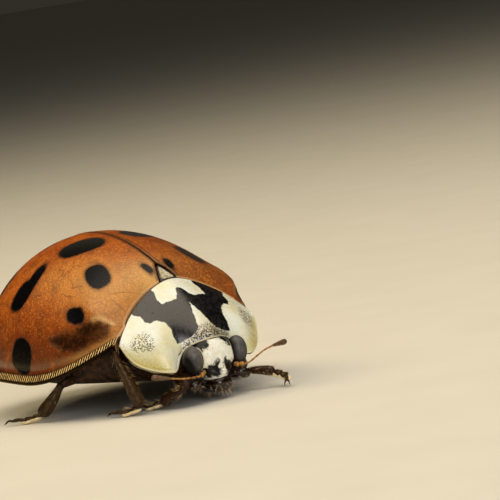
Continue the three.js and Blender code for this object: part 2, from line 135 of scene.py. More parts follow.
def reckon(operation, *values):
    """One sum in a finish; the first of its values is a socket."""
    return lay(values[0].id_data, "Math", dict(enumerate(values)), operation=operation).outputs[0]


def scaled(value, by, plus):
    return reckon("MULTIPLY_ADD", value, by, plus)


def grained(place, per_mm, detail, rough=0.5):
    """An even cloudy grain from 0 to 1, with about per_mm blotches to a mm."""
    cloudy = {"Vector": place, "Scale": per_mm, "Detail": detail, "Roughness": rough}
    return lay(place.id_data, "TexNoise", cloudy).outputs["Fac"]


def shade(colour):
    """A colour as it is seen, from 0 to 255, for a shader."""
    parts = [part / 255 for part in colour]
    return tuple([p / 12.92 if p < 0.04045 else ((p + 0.055) / 1.055) ** 2.4 for p in parts] + [1.0])


def over(colour, *coats):
    """A colour with others laid over it in turn, each by a share from 0 to 1."""
    for share, top in coats:
        under, top = (shade(c) if isinstance(c, tuple) else c for c in (colour, top))
        colour = lay(share.id_data, "Mix", {0: share, 6: under, 7: top}, data_type="RGBA").outputs[2]
    return colour


def finish(name):
    """A new material, with its shader and the place on the piece in mm."""
    material = bpy.data.materials.new(name)
    material.use_nodes = True
    tree = material.node_tree
    spot = lay(tree, "TexCoord").outputs["Object"]
    place = lay(tree, "VectorMath", {0: spot, 1: (1000, 1000, 1000)}, operation="MULTIPLY").outputs[0]
    return material, tree, tree.nodes["Principled BSDF"], place


world = bpy.data.worlds.new("studio")
world.use_nodes = True
dress(world.node_tree.nodes["Background"], {"Color": (0.3, 0.27, 0.21, 1), "Strength": 0.1})
bpy.context.scene.world = world

floor_paper, tree, gloss, place = finish("floor_paper")
fibre = grained(place, 0.4, 4)
paper = over((214, 212, 204), (fibre, (224, 222, 215)))
dress(gloss, {"Base Color": paper, "Roughness": scaled(fibre, 0.1, 0.8)})
bm = bmesh.new()
bmesh.ops.create_grid(bm, x_segments=8, y_segments=8, size=4)
mesh = bpy.data.meshes.new("floor")
bm.to_mesh(mesh)
bm.free()
mesh.materials.append(floor_paper)
floor = bpy.data.objects.new("floor", mesh)
bpy.context.scene.collection.objects.link(floor)

# --------------------
# The pronotum, the shield behind the head: one bent plate of thin chitin,
# creamy, with a black M, a rolled rim and two lobes that reach past the eyes.
# --------------------
SHIELD_BACK = [(0, -0.035, 2.903), (0.581, -0.028, 2.748), (1.293, -0.182, 2.343), (1.7, -0.32, 1.98),
               (1.915, -0.44, 1.77)]
SHIELD_FRONT = [(0, -1.455, 1.635), (0.22, -1.4, 1.61), (0.42, -1.28, 1.55), (0.62, -1.17, 1.45),
                (0.74, -1.14, 1.31), (0.84, -1.17, 1.14), (0.94, -1.24, 1.05), (1.1, -1.33, 1.035),
                (1.42, -1.12, 1.1), (1.712, -0.806, 1.266), (1.86, -0.62, 1.5), (1.915, -0.46, 1.74)]
SHIELD_SWELL = [(0, -0.84, 2.34), (0.7, -1.03, 2.16), (1.1, -1.12, 1.95), (1.4, -0.98, 1.85),
                (1.7, -0.74, 1.78), (1.915, -0.45, 1.755)]
SHIELD_HALF_WIDTH = 1.915
SHIELD_LENGTH = 1.9
EDGE_PLACES = 260
SMOOTHINGS = 25
# Half of the black M: across in mm, and from the back edge (0) to the front (1).
M_MARK = [(0, 0.165), (0.07, 0.18), (0.16, 0.27), (0.24, 0.315), (0.42, 0.285), (0.615, 0.245),
          (0.625, 0.15), (0.56, 0.07), (0.575, -0.1), (1.33, -0.1), (1.28, 0.06), (1.19, 0.13), (1.2, 0.22),
          (1.12, 0.3), (0.97, 0.32), (0.83, 0.42), (0.755, 0.55), (0.775, 0.68), (0.75, 0.8), (0.64, 0.86),
          (0.46, 0.875), (0.3, 0.85), (0.2, 0.8), (0.14, 0.68), (0.09, 0.58), (0.035, 0.48), (0, 0.43),
          (-0.1, 0.3), (-0.1, 0.1)]


def through(points, across):
    """Reads a smooth symmetric curve of (x, y, z) points at distances across."""
    points = np.array(points)
    knots = np.concatenate([-points[2:0:-1, 0], points[:, 0]])
    values = np.concatenate([points[2:0:-1, 1:], points[:, 1:]])
    slopes = np.gradient(values, axis=0) / np.gradient(knots)[:, None]
    at = np.clip(np.abs(across), 0, knots[-1])
    k = np.clip(np.searchsorted(knots, at, side="right") - 1, 0, len(knots) - 2)
    width = (knots[k + 1] - knots[k])[:, None]
    t = (at - knots[k])[:, None] / width
    return ((2 * t**3 - 3 * t**2 + 1) * values[k] + (t**3 - 2 * t**2 + t) * width * slopes[k]
            + (3 * t**2 - 2 * t**3) * values[k + 1] + (t**3 - t**2) * width * slopes[k + 1])


def line_distance(points, line):
    """Distance from points to an open line through other points."""
    nearest = np.full(len(points), 1e9)
    for start, end in zip(line[:-1], line[1:]):
        edge = end - start
        away = points - start
        share = np.clip(away @ edge / max(edge @ edge, 1e-12), 0, 1)
        nearest = np.minimum(nearest, np.linalg.norm(away - share[:, None] * edge, axis=1))
    return nearest


def outline_distance(points, outline):
    """Distance from flat points to a closed outline, negative inside it."""
    closed = np.array([*outline, outline[0]])
    inside = np.zeros(len(points), bool)
    for (ax, ay), (bx, by) in zip(closed[:-1], closed[1:]):
        crosses = (ay > points[:, 1]) != (by > points[:, 1])
        meets = ax + (points[:, 1] - ay) * (bx - ax) / (by - ay if by != ay else 1e-12)
        inside ^= crosses & (points[:, 0] < meets)
    return np.where(inside, -1, 1) * line_distance(points, closed)


def hump(value, middle, reach):
    """A smooth bump of height 1 where value is at its middle."""
    return np.exp(-((value - middle) / reach)**2)


def sheet_of(across_count, along_count):
    """A flat grid to be bent into shape, and its two directions from 0 to 1."""
    bm = bmesh.new()
    bmesh.ops.create_grid(bm, x_segments=across_count, y_segments=along_count, size=1)
    flat = np.array([vert.co for vert in bm.verts])
    return bm, flat[:, 0] / 2 + 0.5, flat[:, 1] / 2 + 0.5


def move_to(bm, points):
    for vert, point in zip(bm.verts, points):
        vert.co = point


def raise_by(bm, heights):
    bm.normal_update()
    for vert, height in zip(list(bm.verts), heights):
        vert.co += vert.normal * float(height)


def set_piece(name, bm, material, slot, *nodes):
    """Puts a finished shape in its place on the animal."""
    bmesh.ops.transform(bm, matrix=BODY, verts=bm.verts)
    mesh = bpy.data.meshes.new(name)
    bm.to_mesh(mesh)
    bm.free()
    mesh.shade_smooth()
    mesh.materials.append(material)
    piece = bpy.data.objects.new(name, mesh)
    bpy.context.scene.collection.objects.link(piece)
    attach(piece, "root")
    if nodes:
        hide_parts(*nodes)
    return piece


def note(piece, **numbers):
    """Writes numbers onto a piece, one for each point, for its finish to read."""
    for name, values in numbers.items():
        attribute = piece.data.attributes.new(name, "FLOAT", "POINT")
        attribute.data.foreach_set("value", np.full(len(piece.data.vertices), values, np.float32))


def wall(piece, thickness, shares):
    """Gives a sheet its thickness inward, thinned by a share for each point."""
    group = piece.vertex_groups.new(name="thick")
    for index, share in enumerate(shares):
        group.add([index], float(share), "REPLACE")
    shell = piece.modifiers.new("wall", "SOLIDIFY")
    shell.thickness = thickness * 0.001
    shell.offset = -1
    shell.vertex_group = "thick"


def shield_points(across, along):
    back, swell, front = (through(curve, across) for curve in (SHIELD_BACK, SHIELD_SWELL, SHIELD_FRONT))
    t = along[:, None]
    bent = (1 - t)**2 * back + 2 * t * (1 - t) * swell + t**2 * front
    return np.column_stack([across, bent])


bm, u, v = sheet_of(190, 92)
across = SHIELD_HALF_WIDTH * np.sin((u - 0.5) * math.pi)
points = shield_points(across, v)
move_to(bm, points)
inner = [vert for vert in bm.verts if not vert.is_boundary]
for _ in range(SMOOTHINGS):
    bmesh.ops.smooth_vert(bm, verts=inner, factor=0.5, use_axis_x=True, use_axis_y=True, use_axis_z=True)
bmesh.ops.recalc_face_normals(bm, faces=bm.faces)
bm.normal_update()
if sum(vert.normal.z for vert in bm.verts) < 0:
    bmesh.ops.reverse_faces(bm, faces=bm.faces)
edge_across = np.sin(np.linspace(-1, 1, EDGE_PLACES) * math.pi / 2) * SHIELD_HALF_WIDTH
to_rim = line_distance(points, shield_points(edge_across, np.ones(EDGE_PLACES)))
to_back = line_distance(points, shield_points(edge_across, np.zeros(EDGE_PLACES)))
# A rolled bead along the free edge, with a groove inside it, and a low ridge behind.
bead = 0.016 * hump(to_rim, 0.026, 0.016) - 0.014 * hump(to_rim, 0.066, 0.02)
bead += 0.01 * hump(to_back, 0.03, 0.02) - 0.02 * hump(to_rim, 0, 0.012)
raise_by(bm, bead)


def between(value, low, high, start=0.0, end=1.0):
    """A smooth rise from start to end as value goes from low to high."""
    ranged = {"Value": value, "From Min": low, "From Max": high, "To Min": start, "To Max": end}
    return lay(value.id_data, "MapRange", ranged, interpolation_type="SMOOTHSTEP").outputs[0]


chitin_pits = bpy.data.node_groups.new("chitin_pits", "ShaderNodeTree")
for label, kind in (("Place", "Vector"), ("Per mm", "Float"), ("Size", "Float")):
    chitin_pits.interface.new_socket(label, in_out="INPUT", socket_type="NodeSocket" + kind)
chitin_pits.interface.new_socket("Pit", in_out="OUTPUT", socket_type="NodeSocketFloat")
pit_place, per_mm, pit_size = chitin_pits.nodes.new("NodeGroupInput").outputs[:3]
cells = lay(chitin_pits, "TexVoronoi", {"Vector": pit_place, "Scale": per_mm, "Randomness": 0.8})
dress(chitin_pits.nodes.new("NodeGroupOutput"), {0: between(cells.outputs["Distance"], 0, pit_size, 1, 0)})


def pitted(place, per_mm, size):
    """Fine pits all over a plate: 1 in a pit, 0 between pits."""
    group = place.id_data.nodes.new("ShaderNodeGroup")
    group.node_tree = chitin_pits
    dress(group, {0: place, 1: per_mm, 2: size})
    return group.outputs[0]


def times(value, by):
    return reckon("MULTIPLY", value, by)


def embossed(height, strength, depth, **settings):
    """A surface raised by height, as deep as depth in mm."""
    relief = {"Height": height, "Strength": strength, "Distance": depth * 0.001}
    return lay(height.id_data, "Bump", relief, **settings).outputs[0]


def read(tree, name):
    """A number that note() wrote onto the piece."""
    return lay(tree, "Attribute", attribute_name=name).outputs["Fac"]


shield_chitin, tree, gloss, place = finish("shield_chitin")
grain = grained(place, 9, 5)
pits = pitted(place, 17, 0.34)
lobe, collar, rim = (read(tree, name) for name in ("lobe", "collar", "rim"))
specks = reckon("MAXIMUM", pitted(place, 19, 0.62), pitted(place, 27, 0.6))
freckle = between(times(specks, read(tree, "freckles")), 0.1, 0.5, 0, 0.9)
smoke = times(between(grain, 0.3, 0.6, 0, 0.75), collar)
# Cream, with a yellow lobe, brown pits and freckles, and a smoky collar of black specks.
cream = over(
    (238, 243, 234),
    (between(grained(place, 1.8, 3), 0.35, 0.7), (230, 227, 192)),
    (lobe, (206, 192, 108)),
    (times(pits, scaled(lobe, 0.6, 0.24)), (140, 124, 66)),
    (freckle, (82, 66, 14)),
    (smoke, (116, 92, 54)),
    (between(times(specks, collar), 0.1, 0.4), (26, 19, 12)))
ragged = reckon("ADD", read(tree, "mark"), scaled(grain, 0.07, -0.035))
mark = between(ragged, 0.012, -0.012)
black = over((5, 4, 6), (between(grain, 0.4, 0.65), (26, 24, 26)))
# Then the black M, the pale bead with its dark edge, and the dark line at the back.
painted = over(
    cream,
    (mark, black),
    (times(between(rim, 0.06, 0.035), 0.75), (206, 196, 160)),
    (between(rim, 0.016, 0.006), (58, 38, 20)),
    (between(read(tree, "back"), 0.04, 0.015), (52, 32, 16)))
# Small sunken dots break up the gloss of the black, and the plate lets a little light in.
dots = pitted(place, 4, 0.13)
waxy = {"Subsurface Weight": 0.12, "Subsurface Radius": (1.0, 0.7, 0.4), "Subsurface Scale": 0.00015}
dress(gloss, {"Base Color": painted, "Normal": embossed(scaled(pits, -0.6, times(grain, 0.35)), 0.34, 0.02),
              "Roughness": scaled(dots, 0.6, scaled(grain, 0.3, 0.13)), "Metallic": times(dots, mark),
              "Coat Weight": scaled(dots, -0.35, 0.35), "Coat Roughness": 0.18, **waxy})

shield = set_piece("pronotum_shield", bm, shield_chitin, "pronotum", "pronotum")
half = np.abs(across)
outline = [(x, y * SHIELD_LENGTH) for x, y in M_MARK]
cluster = np.exp(-(((half - 1.5) / 0.22)**2 + ((v - 0.49) / 0.17)**2)**1.4)
note(shield, mark=outline_distance(np.column_stack([half, v * SHIELD_LENGTH]), outline),
     rim=to_rim, back=to_back,
     lobe=np.clip((half - 0.85) / 0.5, 0, 1) * np.clip((v - 0.5) / 0.4, 0, 1) * 0.9,
     freckles=np.clip(cluster * 1.8, 0, 1),
     collar=np.clip((v - 0.7) / 0.2, 0, 1) * np.clip((0.78 - half) / 0.25, 0, 1))
wall(shield, 0.09, np.clip((SHIELD_HALF_WIDTH - half) / 0.15, 0.08, 1))

# --------------------
# The scutellum: the small glossy triangle where the two wing cases and the
# pronotum meet. It is dark chitin with a fine raised border.
# --------------------
SCUTELLUM = [(-0.225, 0.0, 2.88), (0.225, 0.0, 2.88), (0.175, 0.13, 2.98), (0.055, 0.35, 3.15),
             (0, 0.4, 3.18), (-0.055, 0.35, 3.15), (-0.175, 0.13, 2.98)]
plate_chitin, tree, gloss, place = finish("dark_plate_chitin")
grain = grained(place, 14, 4)
# Pale grey-tan, lighter in the grain, with a dark line along the raised border.
worn = over(
    (150, 138, 112),
    (between(grain, 0.3, 0.65), (204, 194, 164)),
    (between(read(tree, "border"), 0.045, 0.025), (30, 20, 16)))
dress(gloss, {"Base Color": worn, "Normal": embossed(grain, 0.15, 0.01),
              "Roughness": scaled(grain, 0.2, 0.16)})
bm = bmesh.new()
corners = [bm.verts.new(corner) for corner in SCUTELLUM]
top = bm.faces.new(corners)
thick = bmesh.ops.extrude_face_region(bm, geom=[top])
sunk = [item for item in thick["geom"] if isinstance(item, bmesh.types.BMVert)]
bmesh.ops.translate(bm, vec=(0, 0.02, -0.3), verts=sunk)
bmesh.ops.recalc_face_normals(bm, faces=bm.faces)
rims = [edge for edge in bm.edges if all(vert in corners for vert in edge.verts)]
bmesh.ops.bevel(bm, geom=rims, offset=0.03, affect="EDGES", segments=3, profile=0.5, material=-1)
bmesh.ops.triangulate(bm, faces=bm.faces)
bmesh.ops.subdivide_edges(bm, edges=bm.edges, cuts=3, use_grid_fill=True)
flat = np.array([(vert.co.x, vert.co.y) for vert in bm.verts])
to_border = np.abs(outline_distance(flat, [(x, y) for x, y, z in SCUTELLUM]))
raise_by(bm, 0.012 * np.clip(1 - to_border / 0.05, 0, 1))
scutellum = set_piece("scutellum_plate", bm, plate_chitin, "scutellum", "scutellum")
note(scutellum, border=to_border)

# --------------------
# The wing cases: two domed shells of hard glossy chitin that meet in a raised
# seam. Each has a shoulder bump, a flared rim with fine ribs, and its spots.
# --------------------
WING_LENGTH = 5.616
WING_HALF_WIDTH = 2.913
SHOULDER_HALF_WIDTH = 2.2
WIDEST_AT = 2.703
CROWN_HEIGHT = 3.821
CROWN_HEIGHT_FRONT = 2.98
EDGE_HEIGHT = 0.89
EDGE_HEIGHT_FRONT = 1.53
# Spots: across from the seam, back from the front, half length, half width, turn.
SPOTS = [(0.82, 2.13, 0.56, 0.37, 27), (1.37, 0.89, 0.37, 0.29, 108), (2.45, 0.72, 0.26, 0.17, 60),
         (2.56, 2.64, 0.43, 0.27, 9), (2.08, 2.53, 0.42, 0.17, -4), (3.95, 2.1, 0.41, 0.35, 8),
         (0.3, 0.36, 0.17, 0.1, 80), (0.8, 3.72, 0.4, 0.3, 60), (2.02, 3.98, 0.42, 0.26, 20),
         (3.3, 3.62, 0.36, 0.26, 50), (1.15, 4.92, 0.32, 0.22, 20)]
# The hollow below the shoulder, which also carries painted shade: across from the seam, and back.
HOLLOW = [(1.98, -0.06), (2.14, 0.1), (2.28, 0.25), (2.42, 0.38), (2.54, 0.48), (2.78, 0.64), (3.0, 0.9),
          (3.32, 1.26), (3.34, 0.86), (3.14, 0.5), (2.9, 0.28), (2.64, 0.12), (2.4, -0.03), (2.16, -0.1)]
# The crest of the shoulder, just above the hollow, where a highlight is painted.
CREST = [(1.86, -0.1), (1.98, 0.05), (2.12, 0.18), (2.24, 0.26)]


def rise(low, high, value):
    share = np.clip((value - low) / (high - low), 0, 1)
    return share * share * (3 - 2 * share)


def wing_half_width(y):
    ahead = np.clip((WIDEST_AT - y) / WIDEST_AT, 0, 2)
    corner = 0.2 * np.maximum(0, 0.15 - y)**2 / 0.45**2
    front = WING_HALF_WIDTH - (WING_HALF_WIDTH - SHOULDER_HALF_WIDTH) * ahead**2.6 - corner
    behind = np.clip((y - WIDEST_AT) / (WING_LENGTH - WIDEST_AT), 0, 1)
    return np.where(y < WIDEST_AT, front, WING_HALF_WIDTH * np.sqrt(1 - behind**2.05))


def crown_height(y):
    top = WIDEST_AT - 0.1
    ahead = np.clip((top - y) / top, 0, 2)
    front = CROWN_HEIGHT - (CROWN_HEIGHT - CROWN_HEIGHT_FRONT) * ahead**2 - 0.2 * (1 - rise(-0.35, 0.35, y))
    behind = np.clip((y - top) / (WING_LENGTH - top), 0, 1)
    back = EDGE_HEIGHT + (CROWN_HEIGHT - EDGE_HEIGHT) * (1 - behind**2.2)**0.6
    return np.where(y < top, front, back)


def edge_height(y):
    ahead = np.maximum(0, (2 - y) / 2)
    return EDGE_HEIGHT + (EDGE_HEIGHT_FRONT - EDGE_HEIGHT) * ahead**2 + 0.6 * np.maximum(0, -y)**2


def wing_points(angle, y):
    low = edge_height(y)
    width = wing_half_width(y)
    return np.column_stack([width * np.sin(angle), y, low + (crown_height(y) - low) * np.cos(angle)**0.963])


def across_arc(y, angle):
    """How far round the shell a place is from the seam, in mm."""
    total = np.zeros(len(y))
    before = wing_points(np.zeros(len(y)), y)
    for step in range(1, 31):
        here = wing_points(angle * step / 30, y)
        total += np.linalg.norm(here - before, axis=1)
        before = here
    return total


DOME_SHARE = 0.88
ROLL_SHARE = 0.035


# Where the shell reaches its rim, a hair short of a quarter turn from the seam.
RIM_ANGLE = math.pi / 2 - 0.001


def notch_angle(y):
    """Where the shell starts beside the scutellum, and at the seam behind it."""
    return np.arcsin(0.245 * np.clip(1 - y / 0.43, 0, 1)**0.8 / np.maximum(wing_half_width(y), 0.3))


def make_wing(side):
    bm, u, v = sheet_of(120, 160)
    tuck = np.clip((u - DOME_SHARE) / (1 - DOME_SHARE), 0, 1)
    far = np.clip((v - ROLL_SHARE) / (1 - ROLL_SHARE), 0, 1)
    roll = np.clip(1 - v / ROLL_SHARE, 0, 1)
    round_share = np.clip(u / DOME_SHARE, 0, 1)
    front_x = wing_half_width(np.full(len(u), -0.1)) * np.sin(round_share * math.pi / 2)
    front = np.maximum(through(SHIELD_BACK, front_x)[:, 0] + 0.035, -0.3)
    y = front + (WING_LENGTH - 0.004 - front) * np.sin(far * math.pi / 2)**1.15
    notch = notch_angle(y)
    angle = notch + round_share * (RIM_ANGLE - notch)
    points = wing_points(angle, y)
    arc = across_arc(y, angle)
    from_seam = arc - across_arc(y, notch)
    to_edge = across_arc(y, np.full(len(u), RIM_ANGLE)) - arc
    # The shoulder bump, and the curved hollow between it and the rim.
    hollow = outline_distance(np.column_stack([arc, y]), HOLLOW)
    lift = 0.08 * hump(y, 0.45, 0.5) * hump(arc, 2.12, 0.26)
    lift -= 0.065 * rise(0.16, -0.12, hollow)
    # How near each place is to the crest, for the painted highlight along it.
    crest = hump(line_distance(np.column_stack([arc, y]), np.array(CREST)), 0, 0.045)
    # The seam stands up in a fine ridge beside the joint.
    lift += 0.014 * hump(from_seam, 0.05, 0.028) - 0.03 * hump(from_seam, 0, 0.018)
    # The rim: a gutter, then a flare that ends in a rounded bead.
    flare = 0.1 * np.clip(1 - to_edge / 0.3, 0, 1)**2
    lift -= 0.03 * hump(to_edge, 0.27, 0.1) * rise(-0.3, 0.3, y)
    outward = np.column_stack([points[:, 0], (y - WIDEST_AT) * 0.8 * (y > WIDEST_AT), np.zeros(len(y))])
    outward /= np.maximum(np.linalg.norm(outward, axis=1), 0.2)[:, None]
    points += outward * flare[:, None]
    inward = np.array([0, WIDEST_AT, 0.95]) - points
    inward /= np.linalg.norm(inward, axis=1)[:, None]
    points += inward * (0.42 * tuck)[:, None]
    points[:, 2] -= 0.05 * np.sin(math.pi * np.clip(tuck * 2.5, 0, 1))
    points[:, 1] += 0.02 * roll
    points[:, 2] -= 0.3 * roll**1.5
    # In front the shell comes down to the back edge of the pronotum.
    at_front = wing_points(notch_angle(front) + round_share * (RIM_ANGLE - notch_angle(front)), front)
    step = np.maximum(0, at_front[:, 2] - through(SHIELD_BACK, at_front[:, 0])[:, 1])
    points[:, 2] -= step * np.clip(1 - (y - front) / 0.6, 0, 1)**2
    points[:, 0] = side * (points[:, 0] + 0.006)
    move_to(bm, points)
    bmesh.ops.recalc_face_normals(bm, faces=bm.faces)
    bm.normal_update()
    upper = [vert.normal.z for vert, share in zip(bm.verts, u) if share < 0.3]
    if sum(upper) < 0:
        bmesh.ops.reverse_faces(bm, faces=bm.faces)
    raise_by(bm, lift * (tuck == 0))
    return bm, arc, y, from_seam, to_edge, tuck, hollow, crest, y - front


wing_chitin, tree, gloss, place = finish("wing_chitin")
grain = grained(place, 10, 6, 0.6)
cloud = grained(place, 1.1, 4)
mottle = grained(place, 3.4, 5, 0.65)
fine = grained(place, 26, 3)
pits = pitted(place, 16, 0.3)
tall = lay(tree, "SeparateXYZ", {0: place}).outputs["Z"]
warp = lay(tree, "TexNoise", {"Vector": place, "Scale": 1.4, "Detail": 2.0}).outputs["Color"]
warped = lay(tree, "VectorMath", {0: place, 1: warp}, operation="ADD").outputs[0]
veins, creases = (lay(tree, "TexVoronoi", {"Vector": warped, "Scale": per_mm}, feature="DISTANCE_TO_EDGE")
                  for per_mm in (1.1, 4.5))
vein = times(between(veins.outputs["Distance"], 0.03, 0), between(cloud, 0.4, 0.6, 0.1, 0.6))
crease = times(between(creases.outputs["Distance"], 0.06, 0), between(cloud, 0.6, 0.4, 0, 0.35))
patchy = between(mottle, 0.4, 0.6, 0.78, 1)
# Painted shade in the hollow below the shoulder, broken up by the mottle.
shaded = times(between(scaled(grain, -0.3, read(tree, "hollow")), -0.04, -0.21), patchy)
# Amber with painted shade that darkens and reddens it down the side and over the left shell,
# brown blotches, stronger lower down with that shade, golden flecks that are partly painted glints
# and stronger higher up, pits, a painted pool of light on the upper front, and fine veins; then
# painted shade in the hollow, the pale fold over it and a painted highlight on the shoulder crest.
amber = over(
    (158, 64, 8),
    (between(cloud, 0.3, 0.7), (182, 90, 15)),
    (between(tall, 2.7, 1.2), (86, 30, 8)),
    (read(tree, "ruddy"), (92, 26, 7)),
    (times(between(mottle, 0.48, 0.66), between(tall, 2.8, 1.6, 0.5, 0.85)), (74, 28, 10)),
    (between(mottle, 0.45, 0.3, 0, 0.45), (206, 118, 30)),
    (times(between(grain, 0.52, 0.7), 0.35), (118, 48, 12)),
    (times(between(fine, 0.5, 0.62), 0.5), (120, 46, 8)),
    (times(between(fine, 0.48, 0.36), between(tall, 1.6, 2.8, 0.18, 0.5)), (228, 154, 64)),
    (times(pits, 0.4), (112, 50, 16)),
    (read(tree, "pale"), (216, 168, 92)),
    (reckon("MAXIMUM", vein, crease), (112, 46, 16)),
    (times(shaded, 0.95), (44, 16, 6)),
    (times(read(tree, "fold"), patchy), (178, 128, 70)),
    (times(read(tree, "crest"), between(fine, 0.35, 0.55, 0.25, 0.65)), (238, 196, 132)))
ragged = reckon("ADD", read(tree, "mark"), scaled(grain, 0.07, -0.035))
spotted = between(ragged, 0.03, -0.03)
edge, seam = read(tree, "edge"), read(tree, "seam")
# The comb of the rim: 90 radians of wave to a mm, which is 14 teeth.
ribs = scaled(reckon("SINE", times(scaled(grain, 0.05, read(tree, "along")), 90)), 0.5, 0.5)
ribbed = times(between(edge, 0.2, 0.15), between(edge, 0.03, 0.06))
comb = times(ribbed, times(between(ribs, 0.5, 0.85), between(grain, 0.35, 0.5, 0.5, 1)))
gutter = between(edge, 0.24, 0.15)
# The black spots in their brown haze, the rim, the seam and the pale front edge.
painted = over(
    amber,
    (times(between(ragged, 0.09, 0), 0.55), (96, 44, 18)),
    (spotted, (36, 37, 42)),
    (times(gutter, 0.95), (30, 14, 5)),
    (comb, (250, 212, 142)),
    (between(seam, 0.03, 0.016), (40, 22, 12)),
    (times(between(seam, 0.13, 0.07), 0.75), (78, 42, 20)),
    (between(edge, 0, -0.02), (28, 15, 8)),
    (times(between(read(tree, "front"), 0.045, 0.025), 0.55), (222, 178, 128)))
height = scaled(fine, 0.4, scaled(pits, -0.5, times(grain, 0.4)))
height = scaled(times(ribbed, ribs), 1.2, height)
# The spots, the hollow and the gutter hardly mirror, save where seen edge on.
edge_on = lay(tree, "LayerWeight", {"Blend": 0.5}).outputs["Facing"]
dull = times(spotted, between(edge_on, 0.5, 0.85, 1, 0))
dull = reckon("MAXIMUM", dull, times(shaded, 0.6))
dull = reckon("MAXIMUM", dull, reckon("SUBTRACT", gutter, comb))
dress(gloss, {"Base Color": painted, "Normal": embossed(height, 0.7, 0.02), "Metallic": dull,
              "Roughness": scaled(spotted, 0.06, scaled(grain, 0.2, 0.26)), "Specular IOR Level": 0.95,
              "Specular Tint": (1, 0.82, 0.42, 1), "Coat Weight": 0.12, "Coat Roughness": 0.2})

# A distance too great for any marking to show, and how far along the rim each y is.
FAR_OFF = 9.0
rim_y = WING_LENGTH - np.linspace(6, 0, 900)**2 / 6
rim_steps = np.hypot(np.diff(wing_half_width(rim_y)), np.diff(rim_y))
rim_along = np.concatenate([[0], np.cumsum(rim_steps)])
for side, name in ((-1, "right"), (1, "left")):
    bm, arc, y, from_seam, to_edge, tuck, hollow, crest, from_front = make_wing(side)
    wing = set_piece(f"wing_shell_{name}", bm, wing_chitin, "wing_case", f"wing_case_{name}")
    nearest = np.full(len(y), FAR_OFF)
    for spot_across, spot_back, half_long, half_wide, turn in SPOTS:
        c, s = math.cos(math.radians(turn)), math.sin(math.radians(turn))
        du, dv = arc - spot_across, y - spot_back
        lengthwise, widthwise = (du * c + dv * s) / half_long, (dv * c - du * s) / half_wide
        bearing = (np.abs(lengthwise)**2.5 + np.abs(widthwise)**2.5)**(1 / 2.5)
        nearest = np.minimum(nearest, (bearing - 1) * half_wide)
    # A painted pool of light on the upper front of each shell, weaker on the left; painted shade that reddens
    # the shell down its side and all over the left one; a painted highlight on the crest, weaker on the left.
    pale = 0.65 * hump(arc, 0.3, 0.75) * hump(y, 0.15, 0.5)
    pale += 0.42 * hump(arc, 1.6, 0.75) * hump(y, 0.75, 0.85) + 0.2 * hump(arc, 2.0, 0.6) * hump(y, 1.9, 0.7)
    is_right = side < 0
    note(wing, mark=np.where(tuck > 0, FAR_OFF, nearest), hollow=hollow, front=from_front,
         seam=from_seam * (1 + 0.8 * rise(2, 5, y)) + (tuck > 0) * FAR_OFF,
         edge=np.where(tuck > 0, -tuck, to_edge + 0.1 * rise(3, 4.4, y)),
         along=np.interp(y, rim_y, rim_along),
         crest=crest * (1.0 if is_right else 0.3), pale=pale * (1.0 if is_right else 0.25),
         fold=0.7 * hump(to_edge, 0.27, 0.1) * rise(1.2, 0.3, y),
         ruddy=0.4 * rise(2.5, 3.6, arc) + (0 if is_right else 0.6 * rise(0.1, 1.2, arc)))
    wall(wing, 0.06, np.ones(len(y)))

# --------------------
# The head: a rounded hard capsule, ivory in front, with dark wedges beside
# the eyes and dark marks above the mouth. The face plate juts out below.
# --------------------
HEAD_MIDDLE = np.array((0, -1.2, 1.13))
HEAD_RADII = np.array((0.58, 0.42, 0.55))
EYE_MIDDLE = np.array((0.63, -1.41, 1.228))
EYE_RADII = np.array((0.225, 0.24, 0.33))
WEDGE = [(0.1, 1.75), (0.15, 1.62), (0.22, 1.5), (0.3, 1.47), (0.36, 1.4), (0.42, 1.34), (0.5, 1.36),
         (0.7, 1.75)]
LOWER_MARK = [(0.07, 1.1), (0.12, 1.17), (0.19, 1.09), (0.34, 1.06), (0.43, 0.98), (0.42, 0.8), (0.2, 0.77),
              (0.08, 0.82), (0.06, 0.95)]

bm = bmesh.new()
bmesh.ops.create_uvsphere(bm, u_segments=112, v_segments=80, radius=1)
unit = np.array([vert.co for vert in bm.verts])
points = HEAD_MIDDLE + HEAD_RADII * np.sign(unit) * np.abs(unit)**(0.84, 0.8, 0.93)
points[:, 0] *= 1 - 0.36 * rise(1.12, 0.72, points[:, 2])
x, z = points[:, 0], points[:, 2]
facing = np.clip(-unit[:, 1], 0, 1)
jut = 0.1 * np.exp(-(np.abs(x) / 0.4)**6) * rise(1.05, 0.84, z) * rise(0.68, 0.74, z) * facing**0.5
points[:, 1] -= jut
one_side = np.column_stack([np.abs(x), points[:, 1], z])
eye_reach = np.linalg.norm((one_side - EYE_MIDDLE) / EYE_RADII, axis=1)
orbit = 0.016 * hump(eye_reach, 1.12, 0.05)
groove = -0.012 * hump(z - 0.25 * x**2, 0.93, 0.02) * (np.abs(x) < 0.36) * facing
socket = -0.07 * hump(np.abs(x), 0.42, 0.06) * hump(z, 0.95, 0.07) * facing
move_to(bm, points)
raise_by(bm, orbit + groove + socket)

face_chitin, tree, gloss, place = finish("face_chitin")
grain = grained(place, 10, 5)
pits = pitted(place, 20, 0.26)
mark, socket_reach = read(tree, "mark"), read(tree, "socket")
ragged = reckon("ADD", mark, scaled(grain, 0.3, -0.15))
